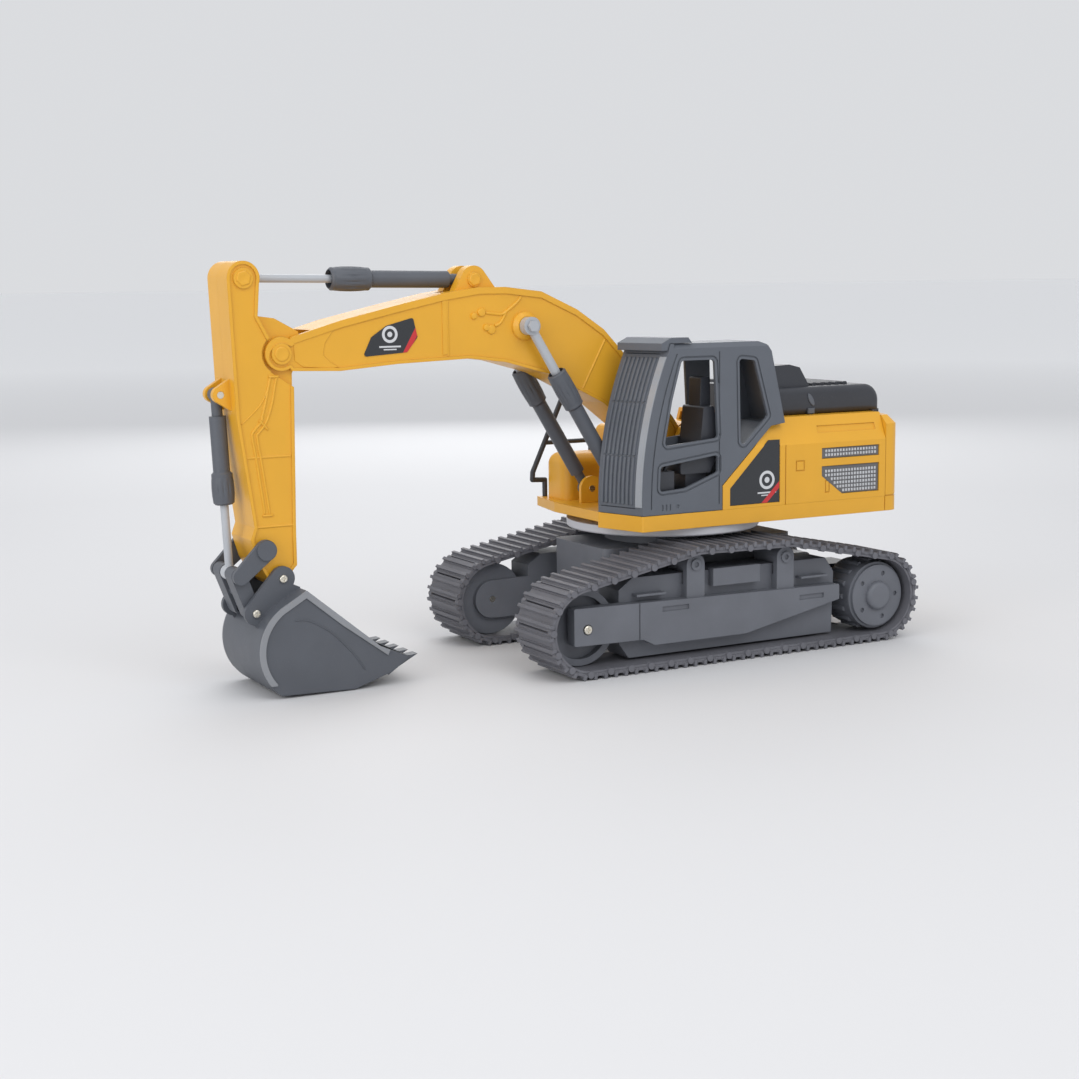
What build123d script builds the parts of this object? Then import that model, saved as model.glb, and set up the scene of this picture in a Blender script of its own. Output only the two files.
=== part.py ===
from build123d import *
from math import atan2, cos, degrees, hypot, pi, radians, sin, sqrt
import os

# Toy crawler excavator, millimetres. While it is being modelled, X points forward (the way the
# boom reaches) from the turntable's axis, Y to the machine's left and Z up from the ground.
# Before it is written, the whole model moves along X, so that its origin is the bottom centre.

# ---- overall sizes
WHEEL_BASE = 158.8            # drive sprocket to front idler
IDLER_X = 74.3                # idler axle, ahead of the turntable's axis
TRACK_INNER_Y = 28.5          # inner edge of a track belt
TRACK_WIDTH = 32.0            # belt width
WHEEL_R = 17.0                # idler and sprocket rim
BELT_PAD = 2.5                # belt thickness without its grousers
GROUSER = 1.5                 # grouser height
SHOE_PITCH = 10.3
BARS_PER_SHOE = 2
BELT_GAP = 0.4                # rim to belt
WALL = 2.0                    # moulded wall
FIT = 0.3                     # gap between moving mouldings
PIN_FIT = 0.08                # radial running clearance of a pin

DECK_Z = 60.0                 # underside of the deck
DECK_T = 7.0
HALF_WIDTH = 47.0             # deck, side panels and cab
TAIL_R = 113.0                # rear swing radius
BODY_REAR_X = -96.0           # seam between side panels and counterweight
BODY_TOP_Z = 107.0
RING_R = 45.5                 # slew ring
RING_Z = 55.8
HUB_R = 12.0
HUB_BORE_R = 6.0

CAB_TOP_Z = 142.5
CAB_FRONT_X = 40.5            # lowest point of the front, on the outer side
CAB_RAKE = 0.3                # how far the front moves forward per millimetre inwards
CAB_WALL = 1.6

BOOM_HALF = 12.0              # half width of boom and arm
BOOM_ROOT = (-6.0, 96.0)
BOOM_TIP = (193.4, 142.2)     # arm pivot
CLEVIS = (102.5, 171.6)       # foot of the arm cylinder
BOOM_EYE = (79.5, 151.1)      # where the boom cylinders push
BOOM_FOOT = (32.0, 73.5)      # feet of the boom cylinders, on the deck
ARM_TOP = (208.8, 173.2)      # arm cylinder's rod eye
BUCKET_PIN = (197.0, 49.2)
LINK_PIN = (209.2, 35.6)      # link to bucket
ROCKER_PIN = (203.8, 61.6)    # rocker to arm
ROCKER_END = (215.0, 51.4)    # rocker, link and bucket cylinder meet
BUCKET_FOOT = (218.2, 126.0)  # foot of the bucket cylinder, on the arm's front

TIP_R = 7.0                   # rounded end of the boom
CHEEK_Y = BOOM_HALF - 2.4     # inside of the boom's fork, less the gap
BUCKET_HALF = 23.0
EAR_Y = BOOM_HALF + 0.6       # inner face of rockers and bucket ears
EAR_T = 2.3
PIN_R = 1.5

BOOM_CYL_Y = BOOM_HALF + 4.8
CAB_INNER_Y = BOOM_CYL_Y + 4.8
BOOM_CYL = dict(barrel=3.4, bore=2.75, collar=4.4, mouth=3.6, rod=2.1, length=67.0, collar_length=17.0,
                stroke_rod=50.0, eye=4.0)
ARM_CYL = dict(barrel=3.7, bore=3.1, collar=4.9, mouth=3.9, rod=1.75, length=64.5, collar_length=17.0,
               stroke_rod=60.0, eye=3.4)
BUCKET_CYL = dict(barrel=3.5, bore=3.0, collar=4.4, mouth=3.6, rod=1.75, length=46.0, collar_length=12.0,
                  stroke_rod=44.0, eye=3.2)

SPROCKET_X = IDLER_X - WHEEL_BASE
BELT_INNER_R = WHEEL_R + BELT_GAP
WHEEL_Z = BELT_INNER_R + BELT_PAD + GROUSER
TRACK_OUTER_Y = TRACK_INNER_Y + TRACK_WIDTH
FRAME_INNER_Y = TRACK_INNER_Y + 4.5
FRAME_OUTER_Y = TRACK_OUTER_Y - 4.5
PLATE_Y = FRAME_OUTER_Y - 6.0          # inner face of the outer side plate
ROLLER_R = 4.8
ROLLERS = [(17.5, 44.8), (-31.9, 44.1)]
IDLER = (IDLER_X, WHEEL_Z)
SPROCKET = (SPROCKET_X, WHEEL_Z)
DECK_TOP = DECK_Z + DECK_T
RING_TOP = DECK_Z - FIT

nodes = {}


# ---- shape helpers
def outline(points, radius=0.0):
    face = make_face(Polyline(*points, close=True))
    return fillet(face.vertices(), radius) if radius else face


def slab(sketch, y_low, y_high):
    # a side-view sketch (X, Z) given thickness along Y
    place = Plane(origin=(0, y_high, 0), x_dir=(1, 0, 0), z_dir=(0, -1, 0))
    return extrude(place * sketch, amount=y_high - y_low)


def raked(sketch, y_low, y_high):
    # like slab, but the section moves forward as it goes inwards, as the cab's front does
    place = Plane(origin=(CAB_RAKE * (HALF_WIDTH - y_high), y_high, 0), x_dir=(1, 0, 0), z_dir=(0, -1, 0))
    length = (y_high - y_low) * sqrt(1 + CAB_RAKE ** 2)
    return extrude(place * sketch, amount=length, dir=(CAB_RAKE, -1, 0))


def block(x_low, x_high, y_low, y_high, z_low, z_high):
    size = (x_high - x_low, y_high - y_low, z_high - z_low)
    return Pos(x_low, y_low, z_low) * Box(*size, align=(Align.MIN, Align.MIN, Align.MIN))


def disc(center, radius, y_low, y_high):
    return slab(Pos(*center) * Circle(radius), y_low, y_high)


def strap(ends, radii):
    # plate outline around two or more round ends
    rims = [Edge.make_circle(r, Plane((e[0], e[1], 0))) for e, r in zip(ends, radii)]
    return make_hull(rims)


def rod_between(start, end, radius):
    start, end = Vector(*start), Vector(*end)
    place = Plane(origin=start, z_dir=end - start)
    return extrude(place * Circle(radius), amount=(end - start).length)


def tube_path(points, radius):
    body = None
    for start, end in zip(points, points[1:]):
        run = rod_between(start, end, radius)
        body = run if body is None else body + run
    for corner in points[1:-1]:
        body = body + Pos(*corner) * Sphere(radius)
    return body


def mirrored(shape):
    return mirror(shape, about=Plane.XZ)


def both_sides(shape):
    return shape + mirrored(shape)


def group(shapes):
    return Compound(children=[s for shape in shapes for s in shape.solids()])


def keep(name, shape):
    nodes[name] = shape


def screw(place, radius, length):
    # pan-head screw with a cross recess; its head's top faces along the place's z axis
    head = extrude(Circle(radius), amount=radius * 0.7)
    head = fillet(head.edges().sort_by(Axis.Z)[-1], radius * 0.3)
    shank = extrude(Circle(radius * 0.5), amount=-length)
    slot = Pos(0, 0, radius * 0.7) * (Box(radius * 1.2, radius * 0.26, radius * 0.6)
                                      + Box(radius * 0.26, radius * 1.2, radius * 0.6))
    return place * (head + shank - slot)


# ---- tracks
def belt():
    def loop(grow):
        ends = [IDLER, SPROCKET] + ROLLERS
        radii = [BELT_INNER_R + grow] * 2 + [ROLLER_R + BELT_GAP + grow] * 2
        return strap(ends, radii)
    outer = loop(BELT_PAD)
    rim = outer.faces()[0].outer_wire()
    count = BARS_PER_SHOE * round(rim.length / SHOE_PITCH)
    bars = []
    for i in range(count):
        at = rim @ (i / count)
        along = rim % (i / count)
        turn = degrees(atan2(along.Y, along.X))
        bars.append(Pos(at.X, at.Y) * Rot(Z=turn) * Rectangle(1.7, 2 * GROUSER))
    return slab(outer + bars - loop(0), TRACK_INNER_Y, TRACK_OUTER_Y)


def track_frame():
    rear, front = SPROCKET_X + WHEEL_R, IDLER_X - WHEEL_R
    low = WHEEL_Z - 16.2
    core = outline([(rear + 5.5, low), (front - 7.3, low), (front - 2.3, low + 6.8),
                    (front - 2.3, low + 30.8),
                    (front - 9.3, low + 35.8), (rear + 9.5, low + 35.8), (rear + 4.5, low + 28.8)])
    plate = outline([(IDLER_X + 6.7, WHEEL_Z - 6.9), (IDLER_X + 6.7, WHEEL_Z + 9.6),
                     (rear + 5.5, WHEEL_Z + 7.6),
                     (rear + 5.5, WHEEL_Z + 0.4), (-9, low + 5.8), (front - 17.3, low + 5.8),
                     (front - 11.3, low + 8.8)], 0.8)
    inner_plate = strap([IDLER, SPROCKET], [9, 11])
    body = slab(core, FRAME_INNER_Y, PLATE_Y) + slab(plate, PLATE_Y, FRAME_OUTER_Y)
    body += slab(inner_plate, FRAME_INNER_Y, FRAME_INNER_Y + 2.2)
    shelf = low + 28.8
    body += block(-18, 7.7, PLATE_Y, PLATE_Y + 4, shelf, shelf + 8)
    for x in (front - 16.5, rear + 19.0):
        body += block(x - 7.5, x + 7.5, PLATE_Y, PLATE_Y + 4.6, shelf - 1, shelf)
    for roller in ROLLERS:
        x, z = roller
        bracket = outline([(x - 5.5, shelf - 4), (x + 5.5, shelf - 4), (x + 5.5, z),
                           (x - 5.5, z)]) & Pos(x, z - 10) * Rectangle(9.6, 20)
        bracket += Pos(x, z) * Circle(4.8)
        body += slab(bracket, PLATE_Y + 1.5, PLATE_Y + 4.5) + block(x - 4.8, x + 4.8, PLATE_Y,
                                                                    PLATE_Y + 4.5, shelf - 5, shelf + 2)
        body += disc(roller, ROLLER_R, FRAME_INNER_Y + 3, PLATE_Y + 1.5)
        body += disc(roller, 2.6, PLATE_Y + 4.5, PLATE_Y + 5.3) - disc(roller, 1.2, 0, 90)
    seam = block(front - 9.7, front - 9.1, FRAME_OUTER_Y - 0.5, 90, low, WHEEL_Z + 12)
    grips = ((front - 35.3, WHEEL_Z + 4.1), (rear + 14.5, WHEEL_Z + 2.1))
    handles = [block(x, x + 14, FRAME_OUTER_Y - 0.8, 90, z, z + 2.2) for x, z in grips]
    for cut in [seam] + handles:
        body -= cut
    body -= disc(IDLER, PIN_R, 0, 90) + disc(IDLER, 2.3, FRAME_OUTER_Y - 0.6, 90)
    body -= disc(SPROCKET, 3.2, 0, 90)
    return body


def sprocket():
    wheel = disc(SPROCKET, WHEEL_R - 1.2, FRAME_INNER_Y + 2.6, FRAME_OUTER_Y - 1.5)
    for i in range(16):
        a = 2 * pi * i / 16
        at = (SPROCKET_X + (WHEEL_R - 1.4) * cos(a), WHEEL_Z + (WHEEL_R - 1.4) * sin(a))
        wheel += disc(at, 1.3, FRAME_INNER_Y + 5, PLATE_Y)
    wheel += disc(SPROCKET, 14.6, FRAME_OUTER_Y - 1.5, FRAME_OUTER_Y)
    hub = disc(SPROCKET, 6.8, FRAME_OUTER_Y, FRAME_OUTER_Y + 2.6)
    hub = fillet(hub.edges().group_by(Axis.Y)[-1], 2.0)
    wheel += hub
    for i in range(5):
        a = 2 * pi * (i + 0.5) / 5
        at = (SPROCKET_X + 10.8 * cos(a), WHEEL_Z + 10.8 * sin(a))
        wheel -= disc(at, 1.1, FRAME_OUTER_Y - 0.9, FRAME_OUTER_Y + 1)
    return wheel + disc(SPROCKET, 1.5, 12.5, FRAME_OUTER_Y - 6)


def idler():
    wheel = disc(IDLER, WHEEL_R, FRAME_INNER_Y + 2.6, PLATE_Y - FIT)
    wheel -= disc(IDLER, WHEEL_R - 3, PLATE_Y - 3.5, PLATE_Y) - disc(IDLER, 5, 0, 90)
    return wheel - disc(IDLER, PIN_R + PIN_FIT, 0, 90)


def gearbox():
    x0, x1 = SPROCKET_X - 11, SPROCKET_X + 24.5
    low, high = WHEEL_Z - 10.4, WHEEL_Z + 11.6
    case = block(x0, x1, 10, TRACK_INNER_Y - 1.5, low, high)
    case = fillet(case.edges().filter_by(Axis.Y), 3)
    case += disc(SPROCKET, 9, TRACK_INNER_Y - 1.5, FRAME_INNER_Y)
    case -= block(x0 + WALL, x1 - WALL, 10 + WALL, TRACK_INNER_Y - 1.5 - WALL, low + WALL, high - WALL)
    return case - disc(SPROCKET, 1.5 + PIN_FIT, 12, 90)


def drive_motor():
    x, z = SPROCKET_X + 22.0, WHEEL_Z + 3.1
    can = rod_between((x, 18.5, z), (x - 17.5, 18.5, z), 6.0)
    can &= block(x - 27, x + 12, 14, 23, z - 15, z + 15)
    return can + rod_between((x - 17.5, 18.5, z), (x - 21.5, 18.5, z), 0.8)


left_parts = {
    "track_belt": belt(),
    "track_frame": track_frame(),
    "sprocket": sprocket(),
    "idler_wheel": idler(),
    "gearbox_case": gearbox(),
}
for part, shape in left_parts.items():
    keep("left_" + part, shape)
    keep("right_" + part, mirrored(shape))
keep("drive_motors", group([drive_motor(), mirrored(drive_motor())]))
idler_place = Plane(origin=(IDLER_X, FRAME_OUTER_Y - 0.6, WHEEL_Z), x_dir=(1, 0, 0), z_dir=(0, 1, 0))
idler_screw = screw(idler_place, 2.0, 3) + disc(IDLER, PIN_R, FRAME_INNER_Y + 0.2, FRAME_OUTER_Y - 0.6)
keep("idler_axles", group([idler_screw, mirrored(idler_screw)]))

# ---- chassis
CHASSIS = dict(rear=-58.0, front=46.0, half=24.0, low=13.0, high=50.0)
c = CHASSIS
chassis = block(c["rear"], c["front"], -c["half"], c["half"], c["low"], c["high"])
chassis = fillet(chassis.edges().filter_by(Axis.Z), 4)
chassis += extrude(Pos(0, 0, c["high"]) * Circle(TRACK_INNER_Y - 1), amount=RING_Z - c["high"])
for x in (28, -34):
    legs = block(x - 11, x + 11, -FRAME_INNER_Y, FRAME_INNER_Y, 16, 36)
    chassis += legs
chassis -= block(c["rear"] + WALL, c["front"] - WALL, -c["half"] + WALL, c["half"] - WALL, 0, c["high"] - 3)
chassis -= extrude(Pos(0, 0, 40) * Circle(HUB_BORE_R), amount=40)
door_half = c["half"] - WALL - FIT
door_front = c["front"] - WALL - FIT
battery_door = block(-20, door_front, -door_half, door_half, c["low"], c["low"] + 2)
battery_door -= Pos(36, 0, c["low"]) * Cylinder(1.3, 8)
base_cover = block(c["rear"] + WALL, -20.4, -c["half"] + WALL, c["half"] - WALL, c["low"], c["low"] + 2)
base_cover -= block(-45, -33, -3.2, 3.2, 0, c["low"] + 5)
switch_knob = block(-44.4, -38.6, -2.7, 2.7, c["low"] + 0.3, c["low"] + 3)
switch_knob += block(-43, -40, -2, 2, c["low"] - 1, c["low"] + 1)
battery_pack = fillet(block(-16, 40, -15, 15, c["low"] + 3, c["low"] + 25).edges().filter_by(Axis.X), 3)
keep("chassis_frame", chassis)
keep("battery_door", battery_door)
keep("base_cover", base_cover)
keep("power_switch", switch_knob)
keep("battery_pack", battery_pack)
case_screws = [screw(Plane(origin=(36, 0, c["low"]), z_dir=(0, 0, -1)), 1.9, 2.6)]

# ---- turntable
ring = extrude(Pos(0, 0, RING_Z) * Circle(RING_R), amount=RING_TOP - RING_Z)
ring = chamfer(ring.edges().group_by(Axis.Z)[0], 0.6)
ring += extrude(Pos(0, 0, RING_Z) * Circle(HUB_R), amount=DECK_TOP + FIT - RING_Z)
ring -= Pos(0, 0, RING_Z) * Cylinder(HUB_BORE_R, 60)
keep("slew_ring", ring)
retainer = extrude(Pos(0, 0, DECK_TOP + FIT) * (Circle(HUB_R + 2.5) - Circle(HUB_BORE_R)), amount=1.6)
for i in range(3):
    a = 2 * pi * i / 3
    at = Plane(origin=(9 * cos(a), 9 * sin(a), DECK_TOP + FIT + 1.6))
    case_screws.append(screw(at, 1.6, 1.2))
    retainer -= at * Cylinder(0.8, 2.4)
keep("slew_retainer", retainer)
keep("case_screws", group(case_screws))

deck_plan = [(CAB_FRONT_X, HALF_WIDTH), (CAB_FRONT_X + CAB_RAKE * (HALF_WIDTH - CAB_INNER_Y), CAB_INNER_Y),
             (47.5, -20), (42, -HALF_WIDTH), (BODY_REAR_X, -HALF_WIDTH), (BODY_REAR_X, HALF_WIDTH)]
deck = extrude(Pos(0, 0, DECK_Z) * outline(deck_plan, 0.8), amount=DECK_T)
deck -= block(BODY_REAR_X + 3, -42, -HALF_WIDTH + 4, HALF_WIDTH - 4, DECK_Z + WALL, 90)
deck -= Pos(0, 0, DECK_Z) * Cylinder(HUB_R + PIN_FIT, 30)
SHELF_RISE = 2.6              # the deck is thinner in front of the boom's foot
deck -= block(36, 60, -HALF_WIDTH - 1, CAB_INNER_Y - 0.4, DECK_Z - 1, DECK_Z + SHELF_RISE)
keep("deck", deck)

# ---- body shells behind the cab
BEVEL_Z = 94.5
BEVEL_Y = HALF_WIDTH - 5


def side_shell(side_view, top_y):
    # thin wall, bevelled towards the top, cut to a side view
    w = WALL
    section = [(HALF_WIDTH, DECK_TOP), (HALF_WIDTH, BEVEL_Z), (BEVEL_Y, BODY_TOP_Z), (top_y, BODY_TOP_Z),
               (top_y, BODY_TOP_Z - w), (BEVEL_Y - w * 0.8, BODY_TOP_Z - w),
               (HALF_WIDTH - w, BEVEL_Z - 0.6),
               (HALF_WIDTH - w, DECK_TOP)]
    place = Plane(origin=(BODY_REAR_X, 0, 0), x_dir=(0, 1, 0), z_dir=(1, 0, 0))
    wall = extrude(place * outline(section), amount=110)
    return wall & slab(side_view, top_y - 1, HALF_WIDTH + 1)


POST_X = -2.2
POST_W = 4.0
left_view = outline([(BODY_REAR_X + 0.2, DECK_TOP), (POST_X, DECK_TOP), (POST_X, 78), (-29, 103.5),
                     (-37, 104.5),
                     (-37, BODY_TOP_Z), (BODY_REAR_X + 0.2, BODY_TOP_Z)])
badge_view = outline([(POST_X - POST_W, DECK_TOP + 1.5), (POST_X - POST_W, 76.5), (-27.5, 97.5),
                      (-34, 97.5),
                      (-34, DECK_TOP + 1.5)])
GRILLES = [[(-58, 87), (-92, 87), (-92, 92), (-58, 92)],
           [(-58, 79), (-58, 83.5), (-92, 83.5), (-92, 70), (-70, 70)]]


def side_panel(view, badge):
    panel = side_shell(view, 34)
    bevel = Vector(0, BODY_TOP_Z - BEVEL_Z, HALF_WIDTH - BEVEL_Y)
    middle = (-74, (HALF_WIDTH + BEVEL_Y) / 2, (BODY_TOP_Z + BEVEL_Z) / 2)
    panel -= Plane(origin=middle, x_dir=(1, 0, 0), z_dir=bevel) * Box(34, 3.4, 1.2)
    for g in GRILLES:
        panel -= slab(outline(g), HALF_WIDTH - 1.4, HALF_WIDTH + 1)
        panel -= slab(offset(outline(g), -1.2), HALF_WIDTH - 4, HALF_WIDTH + 1)
    if badge:
        panel -= slab(badge, HALF_WIDTH - 0.7, HALF_WIDTH + 1)
    panel -= block(-37.4, -37, HALF_WIDTH - 0.5, HALF_WIDTH + 1, DECK_TOP, BEVEL_Z)
    for x, z, w, h in ((-43, 82, 5, 5), (-60, 71, 2.6, 6)):
        rim = block(x - w, x, HALF_WIDTH - 0.4, HALF_WIDTH + 1, z, z + h)
        panel -= rim - block(x - w + 0.5, x - 0.5, 40, 50, z + 0.5, z + h - 0.5)
    return panel


right_view = outline([(BODY_REAR_X + 0.2, DECK_TOP), (-37, DECK_TOP), (-37, BODY_TOP_Z),
                      (BODY_REAR_X + 0.2, BODY_TOP_Z)])
grille_plates = []
for g in GRILLES:
    grille_plates.append(slab(offset(outline(g), -0.15), HALF_WIDTH - 1.4, HALF_WIDTH - 0.6))
keep("left_side_panel", side_panel(left_view, badge_view))
keep("right_side_panel", mirrored(side_panel(right_view, None)))
keep("side_grilles", group(grille_plates + [mirrored(g) for g in grille_plates]))
badge_shape = offset(badge_view, -0.15)
keep("side_badge", slab(badge_shape, HALF_WIDTH - 0.7, HALF_WIDTH - 0.3))

tail = Circle(TAIL_R) & (Pos(-150 + BODY_REAR_X, 0) * Rectangle(300, 2 * HALF_WIDTH))
tail = fillet(tail.vertices().group_by(Axis.X)[0], 6)
WEIGHT_TOP_Z = BODY_TOP_Z - 1.5
weight = extrude(Pos(0, 0, DECK_Z) * tail, amount=WEIGHT_TOP_Z - DECK_Z)
weight = chamfer(weight.edges().group_by(Axis.Z)[-1].filter_by(lambda e: e.center().X < BODY_REAR_X - 1), 4)
hollow = offset(tail, -WALL) & (Pos(-150 + BODY_REAR_X - 3, 0) * Rectangle(300, 200))
weight -= extrude(Pos(0, 0, DECK_Z + WALL) * hollow, amount=BODY_TOP_Z - 4 - WALL - DECK_Z)
weight -= extrude(Pos(0, 0, DECK_TOP) * (tail - offset(tail, -0.4)), amount=0.5)
keep("counterweight", weight)

HOOD_HALF = 36.0
HOOD_FRONT_X = -38.0
HOOD_REAR_X = BODY_REAR_X - 5
HOOD_TOP_Z = BODY_TOP_Z + 13
hood = block(HOOD_REAR_X, HOOD_FRONT_X, -HOOD_HALF, HOOD_HALF, BODY_TOP_Z, HOOD_TOP_Z)
hood = fillet(hood.edges().filter_by(Axis.Y).group_by(Axis.X)[0].sort_by(Axis.Z)[-1], 8)
hood = fillet(hood.edges().filter_by(Axis.X), 3)
hood += block(HOOD_REAR_X, BODY_REAR_X - 1, -HOOD_HALF + 1, HOOD_HALF - 1, WEIGHT_TOP_Z, BODY_TOP_Z + 1)
hood -= block(HOOD_REAR_X + WALL, HOOD_FRONT_X - WALL, -HOOD_HALF + WALL, HOOD_HALF - WALL,
              WEIGHT_TOP_Z - 1, HOOD_TOP_Z - 2 * WALL)
for i in range(9):
    x = -47.5 - 4.6 * i
    rib = block(x - 1.3, x + 1.3, -HOOD_HALF + 6, HOOD_HALF - 6, HOOD_TOP_Z - 2, HOOD_TOP_Z + 1.4)
    hood += fillet(rib.edges().filter_by(Axis.Y).group_by(Axis.Z)[-1], 0.8)
hump = outline([(-63, HOOD_TOP_Z - 2), (-38.6, HOOD_TOP_Z - 2), (-38.6, HOOD_TOP_Z + 10),
                (-50, HOOD_TOP_Z + 10.5), (-56, HOOD_TOP_Z + 9)], 1.0)
keep("engine_hood", hood + slab(hump, 12, 32))
keep("circuit_board", block(-84, -50, -20, 20, 72, 73.6) + block(-76, -62, -8, 8, 73.6, 76))

tank = block(-36.5, 10, -HALF_WIDTH, -CAB_INNER_Y, DECK_TOP, 101)
tank = fillet(tank.edges().filter_by(Axis.X).group_by(Axis.Z)[-1], 4)
tank = fillet(tank.edges().filter_by(Axis.Z).group_by(Axis.X)[-1], 3)
tank -= block(-34, 7, -HALF_WIDTH + WALL, -CAB_INNER_Y - WALL, DECK_TOP, 97)
keep("fuel_tank", tank)
toolbox = block(13, 40, -HALF_WIDTH + 4.5, -CAB_INNER_Y - 1.7, DECK_TOP, 89)
toolbox = fillet(toolbox.edges().filter_by(Axis.X).group_by(Axis.Z)[-1], 6)
toolbox = fillet(toolbox.edges().filter_by(Axis.Y).group_by(Axis.X)[-1].sort_by(Axis.Z)[-1], 5)
toolbox -= block(15, 38, -HALF_WIDTH + 4.5 + WALL, -CAB_INNER_Y - 1.7 - WALL, DECK_TOP, 83)
keep("toolbox", toolbox)
RAIL_Y = -HALF_WIDTH + 2.2
rail = tube_path([(38.8, RAIL_Y, DECK_TOP), (38.8, RAIL_Y, 75), (45.6, RAIL_Y, 75.4), (45.4, RAIL_Y, 79),
                  (27, RAIL_Y, 118), (0, RAIL_Y, 118), (0, RAIL_Y, 101)], 1.25)
rail += rod_between((39.2, RAIL_Y, 93), (13, RAIL_Y, 93), 1.1)
rail += rod_between((13, RAIL_Y, 93), (13, RAIL_Y, DECK_TOP), 1.1) + Pos(13, RAIL_Y, 93) * Sphere(1.1)
keep("handrail", rail)

# ---- cab
CAB_LOW = DECK_TOP + 0.2
front_arc = ThreePointArc((CAB_FRONT_X, CAB_LOW), (37.6, 103), (27, 138))
cab_edge = Polyline((27, 138), (25.5, CAB_TOP_Z), (-90, CAB_TOP_Z), (-90, CAB_LOW), (CAB_FRONT_X, CAB_LOW))
cab_side = make_face([front_arc, cab_edge])
cab_block = raked(cab_side, CAB_INNER_Y, HALF_WIDTH)
cab_back = outline([(70, 60), (70, 150), (-22.6, 150), (-22.6, CAB_TOP_Z), (-26.4, CAB_TOP_Z - 1.4),
                    (-28.8, CAB_TOP_Z - 4.6), (-36.6, 105), (-28.8, 103.9), (-1.9, 78.3), (-1.9, 60)])
cab_block = cab_block & slab(cab_back, CAB_INNER_Y, HALF_WIDTH)
cab_inside = offset(cab_side, -CAB_WALL)
inner_block = raked(cab_inside, CAB_INNER_Y + CAB_WALL, HALF_WIDTH - CAB_WALL)
inner_back = offset(cab_back, -CAB_WALL)
inner_block = inner_block & slab(inner_back, CAB_INNER_Y, HALF_WIDTH)
cab = cab_block - inner_block
roof_edge = outline([(HALF_WIDTH - 1.9, CAB_TOP_Z + 0.1), (HALF_WIDTH + 0.1, CAB_TOP_Z - 2.3),
                     (HALF_WIDTH + 2, CAB_TOP_Z + 2)])
cab -= extrude(Plane(origin=(-60, 0, 0), x_dir=(0, 1, 0), z_dir=(1, 0, 0)) * roof_edge, amount=84)
DOOR_WINDOW = [(20, 135), (2.5, 135), (0.5, 100), (29, 97.5), (25, 117.5)]
REAR_WINDOW = [(-11, 135), (-19.5, 134), (-27, 108.5), (-12, 94.5)]
LOW_WINDOW = [(31, 88.5), (0.5, 92.3), (0.5, 84.5), (18, 78.3), (31.5, 77.4)]
for window in (DOOR_WINDOW, REAR_WINDOW, LOW_WINDOW):
    cab -= slab(outline(window, 1.5), 0, 60)
    frame_line = offset(outline(window, 1.5), 1.8) - offset(outline(window, 1.5), 1.1)
    cab -= slab(frame_line, HALF_WIDTH - 0.5, HALF_WIDTH + 1)
door_edge = Pos(-4.3, 0) * cab_side - Pos(-4.9, 0) * cab_side
door_edge = door_edge & (Pos(30, 104) * Rectangle(60, 68))
cab -= slab(door_edge, HALF_WIDTH - 0.5, HALF_WIDTH + 1)
GUARD_Z = (70.5, 138.0)
guard_band = cab_side - Pos(-1.8, 0) * cab_side
guard_band = guard_band & (Pos(30, sum(GUARD_Z) / 2) * Rectangle(60, GUARD_Z[1] - GUARD_Z[0]))
GUARD_Y = (CAB_INNER_Y + 1.6, HALF_WIDTH - 4.4)
front_cut = Pos(1.0, 0) * cab_side - Pos(-4, 0) * cab_side
front_cut = front_cut & (Pos(30, sum(GUARD_Z) / 2) * Rectangle(60, GUARD_Z[1] - GUARD_Z[0] + 0.6))
cab -= raked(front_cut, GUARD_Y[0] - 0.1, GUARD_Y[1] + 0.1)
cab -= block(-0.5, 0.1, HALF_WIDTH - 0.5, 60, 70, CAB_TOP_Z - 4)
for x in (30, 28, 26):
    cab -= block(x - 0.3, x + 0.3, HALF_WIDTH - 0.4, 60, 69.0, 71.6)
cab -= disc((22, 70.4), 0.8, HALF_WIDTH - 0.4, 60)
keep("cab_shell", cab)
guard = raked(guard_band, *GUARD_Y)
rib_band = (Pos(0.9, 0) * cab_side - Pos(-0.9, 0) * cab_side) & (
    Pos(30, sum(GUARD_Z) / 2) * Rectangle(60, GUARD_Z[1] - GUARD_Z[0] - 3))
RIBS = 8
for i in range(RIBS):
    y = GUARD_Y[0] + 1.4 + (GUARD_Y[1] - GUARD_Y[0] - 2.8) * i / (RIBS - 1)
    guard += raked(rib_band, y - 0.55, y + 0.55)
for z in (117.0, 93.5):
    groove = (Pos(1.2, 0) * cab_side - cab_side) & (Pos(30, z) * Rectangle(60, 0.8))
    guard -= raked(groove, *GUARD_Y)
keep("cab_front_guard", guard)
trim_band = (Pos(0.5, 0) * cab_side - cab_side) & (Pos(30, 104) * Rectangle(60, 66))
keep("cab_pillar_trim", raked(trim_band, GUARD_Y[1] + 0.6, HALF_WIDTH - 0.3))
visor = outline([(26.9, 139.6), (30, 139.6), (30, 142.8), (25, 145.2), (16, 145.2), (14, CAB_TOP_Z + 0.2),
                 (25.8, CAB_TOP_Z + 0.2)])
keep("roof_visor", raked(visor, CAB_INNER_Y, HALF_WIDTH - 0.5))
SEAT_Y = (CAB_INNER_Y + 4.2, HALF_WIDTH - 4.0)
seat = slab(outline([(2, 84), (18, 84), (18, 89), (8, 91), (5.5, 114), (0, 114), (-3, 95)], 1.2),
            SEAT_Y[0], SEAT_Y[1])
seat += slab(outline([(-0.5, 112), (5, 112), (4.4, 127), (-0.5, 127)], 1.0), SEAT_Y[0] + 4, SEAT_Y[1] - 4)
seat += block(3, 14, SEAT_Y[0] + 2, SEAT_Y[1] - 2, CAB_LOW + CAB_WALL, 84.5)
keep("driver_seat", seat)
console = block(22, 30, SEAT_Y[0] + 1, SEAT_Y[1] + 1, CAB_LOW + CAB_WALL, 86)
console += block(24, 27, SEAT_Y[0] + 5, SEAT_Y[0] + 8, 86, 92)
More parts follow.
